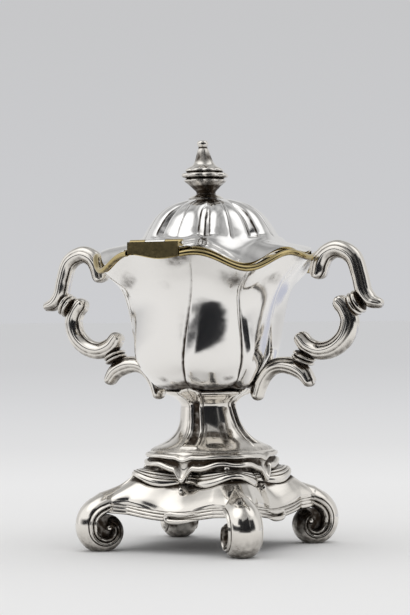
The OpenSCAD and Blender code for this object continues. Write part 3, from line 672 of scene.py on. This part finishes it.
# %% Base shell
strap = []
for k in range(25):
    t = k / 24
    ridge = abs(math.sin(2.5 * math.pi * t))
    strap.append((24.2 + 0.5 * ridge ** 0.7 + 0.4 * math.sin(math.pi * t), 9.8 + 2.7 * t,
                  30.4 + 0.3 * ridge, 12.0 + 2.8 * t, 0.8 * (1 - ridge) ** 3))
side_line = flowing([(23.6, 12.7), (23.0, 13.9), (22.0, 15.2), (20.6, 16.7), (18.9, 18.4), (17.2, 20.2)], 8)
arm_line = flowing([(30.5, 15.0), (30.8, 16.3), (30.1, 17.7), (28.4, 19.3), (26.5, 20.9), (24.6, 22.5)], 8)
shell_rows = [(23.4, 9.8, 29.6, 12.2, 0.8)] + strap
shell_rows += [(s[0], s[1], m[0], m[1], 0.7 * (1 - ease(k / 3)) + 0.95 * ease((k - 31) / 6))
               for k, (s, m) in enumerate(zip(side_line, arm_line))]
shell_first, shell_last = 1 + len(strap), len(shell_rows) - 1
shell_rows += [(12.5, 20.0, 12.5, 20.0, 0.5), (12.5, 19.0, 12.5, 19.0, 0.8), (20.6, 15.8, 26.5, 16.9, 0.8)]


def shell_place(i, a):
    side_r, side_z, arm_r, arm_z, soil_and_shade = shell_rows[i]
    climb = min(1.0, max(0.0, (i - shell_first) / (shell_last - shell_first)))
    edge = to_corner(a) ** 1.3
    reach = 0.0
    if 0 < i <= shell_last:
        reach = 3.4 * ease((from_side(a) - 30.0) / 9.0) * (1.0 - climb)
    r = lerp(side_r, arm_r, lerp(edge, to_corner(a), climb)) + reach
    z = lerp(side_z, arm_z, lerp(edge, edge ** 0.8, climb))
    soil_and_shade *= 1.0 - 0.6 * ease(1.0 - from_side(a) / 9.0) * ease((climb - 0.3) / 0.3)
    under_step = lerp(z, min(z, step_low(a) + 0.25), ease((climb - 0.6) / 0.4))
    return polar(r, a, under_step) + set_off(z) * climb, soil_and_shade


bm = press(spin_outline(blank_rows(len(shell_rows)), 480), shell_place)
for side in (0, 90, 180, 270):
    button = Matrix.Translation(polar(19.0, side + 2, 18.7)) @ Matrix.Rotation(math.radians(side), 4, "Z")
    button = button @ Matrix.Diagonal((0.8, 0.8, 1.2, 1))
    bmesh.ops.create_uvsphere(bm, u_segments=24, v_segments=16, radius=1.0, matrix=button)
cast_piece("four_armed_shell", bm, ["base_shell"], sharp=70.0)

# %% [markdown]
# ### Strap ends
# In the middle of each side one strap ends in a hairpin loop that lies over the next. Each loop is a round
# section drawn along a line that hugs the shell, given in degrees from the side's middle and in height.

# %% Strap ends
loop_sides = 14
loop_line = [(22.0, 12.9), (14.0, 12.2), (7.0, 12.0), (2.0, 12.2), (-0.8, 12.0), (-2.2, 11.1), (-1.0, 10.2),
             (2.0, 9.95), (7.0, 9.9), (14.0, 10.2), (22.0, 10.8)]


def loop_rings(middle, way):
    line = []
    for aside, z in flowing(loop_line, 7):
        r = 25.2 + 0.3 * bell(aside, 8.0) + 6.3 * to_corner(aside) ** 1.3
        line.append(polar(r, middle + way * aside, z))
    rings = []
    for i, p in enumerate(line):
        along = (line[min(i + 1, len(line) - 1)] - line[max(i - 1, 0)]).normalized()
        out = Vector((p.x, p.y, 0)).normalized()
        out = (out - along * out.dot(along)).normalized()
        across = along.cross(out)
        thick = 0.85 * ease(min(i, len(line) - 1 - i) / 14 + 0.1)
        rings.append([p + thick * (math.cos(t) * out + math.sin(t) * across) for t in circle(loop_sides)])
    return rings


for name, middle, way in [("hinge", -90, 1), ("right", 0, -1), ("back", 90, 1), ("left", 180, -1)]:
    bm = draw_scroll(loop_rings(middle, way), [0.0] * loop_sides)
    cast_piece("strap_loop_" + name, bm, [])

# %% [markdown]
# ## Feet
# Each foot is a cast scroll: it starts as a spear on the arm, swells to a rounded crown, and winds down into
# a volute. Ridges follow it on each side, with tarnish between them, round a sunk web and a small eye. The
# hollow of the volute, the web, the scroll's inner face and the lower part of each foot are darkened as
# painted shade. The section is drawn half at a time, with its soil and painted shade, and the line carries
# its rise, depth and half width.

# %% Feet
crown_side = [(1, 0), (0.97, 0.17), (0.88, 0.34), (0.74, 0.5), (0.56, 0.64), (0.36, 0.76), (0.17, 0.84),
              (0.04, 0.87)]
ridge_side = [(0.02, 0.84, 1), (0.1, 0.92, 0.3), (0.2, 0.99, 0), (0.31, 0.98, 0), (0.4, 0.91, 0.4),
              (0.45, 0.83, 1), (0.53, 0.89, 0.3), (0.65, 0.95, 0), (0.78, 0.92, 0), (0.9, 0.78, 0.3),
              (1, 0.5, 0.8), (1, 0.2, 1)]
foot_side = [(c, q, 0.0) for c, q in crown_side] + [(-d, q, g) for d, q, g in ridge_side]
foot_section = foot_side + [(p, -q, g) for p, q, g in foot_side[:0:-1]]
volute_x, volute_z = 33.52, 6.7975
band = [(0, 0.98), (90, 1.02), (180, 0.8), (270, 0.66), (330, 0.52)]


def foot_ring(x, z, out, rise, deep, width, corner):
    turned = Matrix.Rotation(math.radians(corner), 3, "Z")
    ring = []
    for p, q, _ in foot_section:
        reach = p * (rise if p > 0 else deep) - rise
        ring.append(turned @ Vector((x + reach * out[0], -q * width, max(0.0, z + reach * out[1]))))
    return ring


def foot_rings(corner):
    line = flowing([(24.2, 23.2, 0.3, 0.2, 0.15), (25.9, 21.8, 1.2, 0.5, 1.2), (28.5, 20.2, 2.5, 1.4, 2.9),
                    (31.8, 18.95, 3.7, 2.4, 4.9), (34.9, 17.95, 3.4, 2.6, 5.5)], 5)
    for turn in range(20, 331, 5):
        out = (sind(turn), cosd(turn))
        size = 10.5 * (1 - 0.61 * turn / 360.0) + 0.3 * max(0.0, 1 - turn / 180.0)
        half = 2.85 * read_table(turn, band)
        line.append((volute_x + size * out[0], volute_z + size * out[1], half, 1.15 * half, 5.4))
    rings = []
    for i, (x, z, rise, deep, width) in enumerate(line):
        (xa, za), (xb, zb) = line[max(i - 1, 0)][:2], line[min(i + 1, len(line) - 1)][:2]
        size = math.hypot(xb - xa, zb - za)
        out = (-(zb - za) / size, (xb - xa) / size)
        rings.append(foot_ring(x, z, out, rise, deep, width, corner))
    x, z, rise, deep, width = line[-1]
    for along, small in ((0.5, 0.92), (0.9, 0.72), (1.15, 0.4)):
        back = rise * (1 - small)
        tip_x, tip_z = x + (along * out[1] - back * out[0]), z + (-along * out[0] - back * out[1])
        rings.append(foot_ring(tip_x, tip_z, out, rise * small, deep * small, width * small, corner))
    return rings


def foot_eye(bm, corner):
    grime_and_shade = bm.verts.layers.float["grime_and_shade"]
    unturned = Matrix.Rotation(math.radians(-corner), 3, "Z")
    for v in bm.verts:
        local = unturned @ v.co
        deep = math.hypot(local.x - volute_x, local.z - volute_z)
        turn = math.degrees(math.atan2(local.x - volute_x, local.z - volute_z)) % 360.0
        # painted shade: the volute's hollow round its eye, and the foot towards the floor, are darkened
        inner = max(ease((turn - 200.0) / 50.0) * ease((6.4 - deep) / 0.8), ease((3.6 - deep) / 0.8))
        v[grime_and_shade] = max(v[grime_and_shade], 0.68 * inner, 0.3 * ease((9.0 - v.co.z) / 5.0))
    place = Matrix.Rotation(math.radians(corner), 4, "Z") @ Matrix.Translation((32.6, 0, 7.2))
    place = place @ Matrix.Rotation(math.pi / 2, 4, "X")
    web = bmesh.ops.create_cone(bm, cap_ends=True, segments=48, radius1=4.0, radius2=4.0, depth=3.6,
                                matrix=place)
    # the sunk web is painted dark as painted shade
    for v in web["verts"]:
        v[grime_and_shade] = 0.72
    for side in (-2.6, 2.6):
        bmesh.ops.create_uvsphere(bm, u_segments=32, v_segments=16, radius=1.1,
                                  matrix=place @ Matrix.Translation((0, 0, side)))


for name, corner in [("front_right", -45), ("back_right", 45), ("back_left", 135), ("front_left", -135)]:
    bm = draw_scroll(foot_rings(corner), [g for _, _, g in foot_section])
    foot_eye(bm, corner)
    cast_piece("volute_foot_" + name, bm, ["foot_" + name])

# %% [markdown]
# ## Handles
# Each handle is three cast scrolls: an upper one that arches over the rim, a C-scroll, and a bracket to the
# foot of the bowl, which ends in a curl, joined by two beaded collars. One section is drawn along each centre
# line: a ridge, a shoulder on each side and a rounded inside, with a groove between them. Where a scroll
# meets the bowl, its points stop at the bowl's outline.

# %% Handle scrolls
scroll_side = [(1, 0, 0), (0.94, 0.34, 0), (0.82, 0.5, 0.3), (0.73, 0.54, 0.95), (0.6, 0.68, 0.3),
               (0.35, 0.9, 0.08), (0.1, 1, 0.1), (-0.15, 0.98, 0.1), (-0.32, 0.89, 0.3), (-0.39, 0.84, 0.55),
               (-0.48, 0.82, 0.25), (-0.66, 0.74, 0), (-0.85, 0.55, 0), (-0.97, 0.3, 0), (-1, 0, 0)]
scroll_section = scroll_side + [(p, -q, g) for p, q, g in scroll_side[-2:0:-1]]
scroll_section = flowing(scroll_section + scroll_section[:1], 3)[:-1]
contact = [(z, r) for r, z in bowl_curve + [(35.6, 88.8), (35.6, 94.7)]]
arm_thick = 5.6


def arm_at(out, rise, thick, shift=1.0):
    return (rim_r + bowl_h * out - 0.1595 * shift, seat_z + bowl_h * rise, arm_thick * thick)


def bracket_at(share, rise, thick):
    x, z, t = arm_at(0.025, rise, thick)
    return (lerp(17.526, x, share), z, t)


upper_line = [arm_at(0.109, 0.894, 1.05, 0), arm_at(0.128, 0.96, 1.1, 0.05), arm_at(0.183, 1.027, 1, 0.3),
              arm_at(0.281, 1.054, 0.97, 0.7), arm_at(0.395, 0.993, 0.95), arm_at(0.449, 0.854, 0.92),
              arm_at(0.479, 0.738, 0.92), arm_at(0.535, 0.669, 0.82), arm_at(0.602, 0.646, 0.58)]
c_line = [arm_at(0.296, 0.647, 0.98), arm_at(0.331, 0.602, 0.95), arm_at(0.363, 0.514, 1.05),
          arm_at(0.326, 0.4, 1.05), arm_at(0.232, 0.319, 1.02), arm_at(0.119, 0.294, 1),
          arm_at(0.02, 0.328, 1.0), arm_at(-0.03, 0.38, 0.92)]
bracket_line = [bracket_at(1, 0.066, 0.72), bracket_at(0.89, 0.128, 0.9), bracket_at(0.7, 0.173, 1),
                bracket_at(0.47, 0.185, 0.9), bracket_at(0.28, 0.16, 0.86), bracket_at(0.14, 0.104, 0.84),
                bracket_at(0.05, 0.032, 0.8), bracket_at(0, -0.044, 0.7)]


def scroll_rings(line, side):
    line = flowing(line, 9)
    ends = []
    for (x, z, t), (xb, zb, _) in [(line[0], line[1]), (line[-1], line[-2])]:
        size = math.hypot(x - xb, z - zb)
        ends.append([(x + 0.45 * t * sind(q) * (x - xb) / size, z + 0.45 * t * sind(q) * (z - zb) / size,
                      t * cosd(q)) for q in (20, 38, 54, 68, 80, 88)])
    line = ends[0][::-1] + line + ends[1]
    rings = []
    for i, (x, z, t) in enumerate(line):
        (xa, za), (xb, zb) = line[max(i - 1, 0)][:2], line[min(i + 1, len(line) - 1)][:2]
        size = math.hypot(xb - xa, zb - za)
        nx, nz = (zb - za) / size, -(xb - xa) / size
        slim = min(1.0, 1.45 * t / arm_thick) * 2.9
        ring = []
        for p, q, _ in scroll_section:
            px, py, pz = x + p * t / 2 * nx, q * slim, z + p * t / 2 * nz
            least = read_table(pz, contact) + 0.1 if pz > seat_z else 0.0
            if math.hypot(px, py) < least:
                px = math.sqrt(least * least - py * py)
            ring.append(Vector((side * px, side * py, pz)))
        rings.append(ring)
    return rings


def bracket_curl(bm, side):
    grime_and_shade = bm.verts.layers.float["grime_and_shade"]
    x, z = side * 17.4, 48.6
    place = Matrix.Translation((x, 0, z)) @ Matrix.Diagonal((2.1, 2.9, 2.1, 1))
    curl = bmesh.ops.create_uvsphere(bm, u_segments=32, v_segments=24, radius=1.0,
                                     matrix=place @ Matrix.Rotation(math.pi / 2, 4, "X"))
    for v in curl["verts"]:
        v[grime_and_shade] = 0.95 * ease((1.15 - math.hypot(v.co.x - x, v.co.z - z)) / 0.4)


for name, side in [("right", 1), ("left", -1)]:
    for part, line in [("upper_scroll", upper_line), ("c_scroll", c_line), ("bracket", bracket_line)]:
        bm = draw_scroll(scroll_rings(line, side), [g for _, _, g in scroll_section])
        if part == "bracket":
            bracket_curl(bm, side)
        cast_piece(name + "_cast_" + part, bm, [name + "_" + part])

# %% [markdown]
# ### Collars
# Two rounded beads sit between the scrolls where they are joined. Each pair is spun, then turned to lie
# between the two scrolls.

# %% Collars
collar_r, bead_r, bead_out = 2.3, 2.9, 0.9


def collar(name, start, end, node, side):
    a, b = Vector((start[0], 0, start[1])), Vector((end[0], 0, end[1]))
    way = (b - a).normalized()
    low = a + way * (start[2] / 2 - 0.3)
    length = (b - a).length - (start[2] + end[2]) / 2 + 0.6
    rows = [(0.0, 0.0), (collar_r, 0.0)]
    for first in (0.06, 0.5):
        rows += [(bead_r + bead_out * math.sin(math.pi * j / 10), length * (first + 0.44 * j / 10))
                 for j in range(11)]
    rows += [(collar_r, length), (0.0, length)]
    bm = press(spin_outline(rows, 64, closed=False),
               lambda i, turn: (polar(rows[i][0], turn, rows[i][1]), 0.9 if rows[i][0] < 3.2 else 0.0))
    laid = up.rotation_difference(way).to_matrix().to_4x4()
    bm.transform(Matrix.Rotation(0.0 if side > 0 else math.pi, 4, "Z") @ Matrix.Translation(low) @ laid)
    cast_piece(name, bm, [node])


for name, side in [("right", 1), ("left", -1)]:
    collar(name + "_upper_beads", c_line[1], flowing(upper_line, 2)[13], name + "_upper_collar", side)
    collar(name + "_lower_beads", flowing(bracket_line, 2)[3], c_line[6], name + "_lower_collar", side)

# %% [markdown]
# ## Hinge and finial fastening
# The hinge plate, its pin, the lid's leaf and the finial's washer and nut are plain made parts. Their solids
# in the frame are already right, so they stay and only take a finish.

# %% Hinge and finial fastening
for node, material in [("hinge_plate", shaded_gilt_plate), ("hinge_pin", plain_silver), ("lid_leaf", plain_silver),
                       ("finial_washer", plain_silver), ("finial_nut", plain_silver)]:
    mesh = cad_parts[node].data
    mesh.materials.clear()
    mesh.materials.append(material)
    print(node, "takes", material.name)

# %% [markdown]
# ## Floor
# The pot stands on a pale sheet. Its colour is painted light: a little dimmer round the pot, brightest a
# quarter metre out and darker further off, and it turns a little bluer, so that it meets the backdrop without
# a line.

# %% Floor
def stage_plane(name, corners, material, bm=None):
    if bm is None:
        bm = bmesh.new()
        face = bm.faces.new([bm.verts.new(c) for c in corners])
        place = bm.loops.layers.uv.new("UVMap")
        for loop, corner in zip(face.loops, ((0, 0), (1, 0), (1, 1), (0, 1))):
            loop[place].uv = corner
    mesh = bpy.data.meshes.new(name)
    bm.to_mesh(mesh)
    bm.free()
    mesh.materials.append(material)
    plane = bpy.data.objects.new(name, mesh)
    scene.collection.objects.link(plane)
    return plane


sheet_white = bpy.data.materials.new("sheet_white")
sheet_white.use_nodes = True
nodes, links = sheet_white.node_tree.nodes, sheet_white.node_tree.links
shader = nodes["Principled BSDF"]
shader.inputs["Roughness"].default_value = 0.9
shader.inputs["Specular IOR Level"].default_value = 0.0
reach = nodes.new("ShaderNodeVectorMath")
reach.operation = "LENGTH"
links.new(nodes.new("ShaderNodeTexCoord").outputs["Object"], reach.inputs[0])
sheet_half, tone_span = 14.0, 6.0
span = math_node(nodes, links, "DIVIDE", reach.outputs["Value"], tone_span)
ramp = nodes.new("ShaderNodeValToRGB")
links.new(span, ramp.inputs["Fac"])
# painted light: the sheet's tone by distance from the pot
tones = [(0.0, 0.80), (0.045, 0.84), (0.09, 0.79), (0.18, 0.78), (0.4, 0.74), (1.0, 0.73)]
for place, _ in tones[2:]:
    ramp.color_ramp.elements.new(place)
for element, (place, tone) in zip(ramp.color_ramp.elements, tones):
    blue = 0.013 * min(1.0, place / 0.18)
    element.position = place
    element.color = (tone * (1.0 - blue), tone * (1.0 - blue / 2), tone * (1.0 + blue), 1.0)
links.new(ramp.outputs["Color"], shader.inputs["Base Color"])
stage_plane("sheet", [(sheet_half * x, sheet_half * y, 0) for x, y in ((-1, -1), (1, -1), (1, 1), (-1, 1))],
            sheet_white)
print("sheet:", 2 * sheet_half, "m wide, in", len(tones), "tones")

# %% [markdown]
# ## Dark cards
# Silver shows its surroundings, so they matter as much as the metal. The room behind the camera is dark: four
# curved cards stand for it, with one that lies on the sheet in front of the pot, and a grey flag lies to the
# right. Their edges fade out, and they are seen only in reflections.

# %% Dark cards
def card_colour(name, tone, feather):
    material = bpy.data.materials.new(name)
    material.use_nodes = True
    nodes, links = material.node_tree.nodes, material.node_tree.links
    shader = nodes["Principled BSDF"]
    shader.inputs["Base Color"].default_value = (tone, tone * 1.05, tone * 1.25, 1)
    shader.inputs["Roughness"].default_value = 1.0
    shader.inputs["Specular IOR Level"].default_value = 0.0
    split = nodes.new("ShaderNodeSeparateXYZ")
    links.new(nodes.new("ShaderNodeTexCoord").outputs["UV"], split.inputs[0])
    mask = None
    for axis in ("X", "Y"):
        inward = math_node(nodes, links, "PINGPONG", split.outputs[axis], 0.5)
        soft = nodes.new("ShaderNodeMapRange")
        soft.interpolation_type = "SMOOTHSTEP"
        soft.inputs["From Max"].default_value = feather
        links.new(inward, soft.inputs["Value"])
        mask = soft.outputs[0] if mask is None else math_node(nodes, links, "MULTIPLY", mask, soft.outputs[0])
    links.new(mask, shader.inputs["Alpha"])
    return material


room_dark, room_edge = card_colour("room_dark", 0.012, 0.11), card_colour("room_edge", 0.02, 0.22)
floor_dark, flag_grey = card_colour("floor_dark", 0.012, 0.07), card_colour("flag_grey", 0.55, 0.4)


def facing(degrees, distance, z):
    a = math.radians(degrees)
    return (to_camera * math.cos(a) + to_right * math.sin(a)) * distance + up * z


def dark_card(name, corners, material, bm=None):
    card = stage_plane(name, corners, material, bm)
    card.visible_camera = card.visible_diffuse = card.visible_shadow = card.visible_transmission = False


def floor_card(name, corners, material):
    dark_card(name, [facing(turn, distance, 0.0005) for turn, distance in corners], material)


def arc_card(name, start, end, distance, low, high, material):
    bm = bmesh.new()
    place = bm.loops.layers.uv.new("UVMap")
    steps = 24
    for k in range(steps):
        spots = [(k / steps, 0), ((k + 1) / steps, 0), ((k + 1) / steps, 1), (k / steps, 1)]
        corners = [facing(lerp(start, end, u), distance, lerp(*(high if v else low), u)) for u, v in spots]
        face = bm.faces.new([bm.verts.new(c) for c in corners])
        for loop, spot in zip(face.loops, spots):
            loop[place].uv = spot
    dark_card(name, None, material, bm)


# name, first and last turn from the camera, distance, heights of the lower and the upper edge at both ends
arc_card("room_band", -105, 80, 0.7, (0.0, 0.0), (0.2, 0.3), room_edge)
arc_card("room_upper_left", -42, -10, 0.62, (0.2, 0.2), (0.66, 0.66), room_edge)
arc_card("room_upper_right", 34, 78, 0.62, (0.0, 0.0), (0.62, 0.5), room_edge)
arc_card("room_middle", -30, 42, 0.66, (-0.12, -0.12), (0.4, 0.95), room_dark)
floor_card("room_floor", [(-36, 0.19), (42, 0.24), (40, 1.1), (-32, 1.1)], floor_dark)
floor_card("flag_right", [(85, 0.16), (150, 0.13), (150, 0.6), (85, 0.6)], flag_grey)

# %% [markdown]
# ## Light
# A broad soft box hangs over the pot, inside a pale tent. The camera and the sheet see the tent as a smooth
# backdrop. Reflections see more of it: a mottled roof, its walls, and four bright windows.

# %% Light
box_size, box_glow = (1.3, 1.1), 0.55
lamp = bpy.data.lights.new("top_box", "AREA")
lamp.shape, lamp.size, lamp.size_y = "RECTANGLE", *box_size
lamp.energy = box_glow * math.pi * box_size[0] * box_size[1]
top_box = bpy.data.objects.new("top_box", lamp)
top_box.location = 0.1 * to_camera + up
top_box.rotation_euler = (0.06 * up - top_box.location).to_track_quat("-Z", "Y").to_euler()
top_box.visible_camera = top_box.visible_glossy = False
scene.collection.objects.link(top_box)

world = bpy.data.worlds.new("tent")
scene.world = world
world.use_nodes = True
nodes, links = world.node_tree.nodes, world.node_tree.links
ray = nodes.new("ShaderNodeTexCoord").outputs["Generated"]
split = nodes.new("ShaderNodeSeparateXYZ")
links.new(ray, split.inputs[0])
height = split.outputs["Z"]


def smooth_range(value, start, end, low, high):
    node = nodes.new("ShaderNodeMapRange")
    node.interpolation_type = "SMOOTHSTEP"
    for socket, number in zip(list(node.inputs)[1:5], (start, end, low, high)):
        socket.default_value = number
    links.new(value, node.inputs["Value"])
    return node.outputs["Result"]


def toward(direction, start, end, bright):
    node = nodes.new("ShaderNodeVectorMath")
    node.operation = "DOT_PRODUCT"
    links.new(ray, node.inputs[0])
    node.inputs[1].default_value = direction.normalized()
    return smooth_range(node.outputs["Value"], start, end, 0.0, bright)


def brighter(a, b):
    return math_node(nodes, links, "MAXIMUM", a, b)


def mixed(factor, a, b):
    node = nodes.new("ShaderNodeMix")
    node.data_type = "RGBA"
    for label, value in (("Factor", factor), ("A", a), ("B", b)):
        links.new(value, node.inputs[label])
    return node.outputs["Result"]


back_tone = nodes.new("ShaderNodeValToRGB")
back_tones = [(0.0, (0.61, 0.615, 0.635, 1)), (0.13, (0.57, 0.572, 0.582, 1))]
for element, (place, colour) in zip(back_tone.color_ramp.elements, back_tones):
    element.position, element.color = place, colour
links.new(height, back_tone.inputs["Fac"])
tent_tone = math_node(nodes, links, "MULTIPLY_ADD", noise_node(nodes, links, 3.2, 3.0, ray), 0.42, 0.64)
tent_colour = nodes.new("ShaderNodeMix")
tent_colour.data_type = "RGBA"
tent_colour.blend_type = "MULTIPLY"
tent_colour.inputs["Factor"].default_value = 1.0
tent_colour.inputs["A"].default_value = (1.0, 0.997, 0.992, 1)
links.new(tent_tone, tent_colour.inputs["B"])
around = brighter(toward(to_camera, -0.85, 0.0, 1.0), smooth_range(height, 0.18, 0.6, 0.0, 1.0))
tent = mixed(around, back_tone.outputs["Color"], tent_colour.outputs["Result"])

roof = math_node(nodes, links, "MULTIPLY_ADD", noise_node(nodes, links, 4.5, 3.0, ray), 0.75, 0.06)
glow = brighter(roof, smooth_range(height, 0.4, 0.85, 0.68, 0.0))
# direction, where the window begins and is full, and its brightness
windows = [(-to_right + 0.3 * to_camera + 0.35 * up, 0.35, 0.9, 1.0),
           (to_right + 0.2 * to_camera + 0.3 * up, 0.6, 0.95, 0.85),
           (-0.5 * to_right + 0.15 * to_camera + 0.85 * up, 0.80, 0.985, 1.35),
           (0.55 * to_right - 0.1 * to_camera + 0.8 * up, 0.86, 0.99, 1.15)]
for window in windows:
    glow = brighter(glow, toward(*window))
glossy = nodes.new("ShaderNodeLightPath").outputs["Is Glossy Ray"]
links.new(mixed(glossy, tent, glow), nodes["Background"].inputs["Color"])
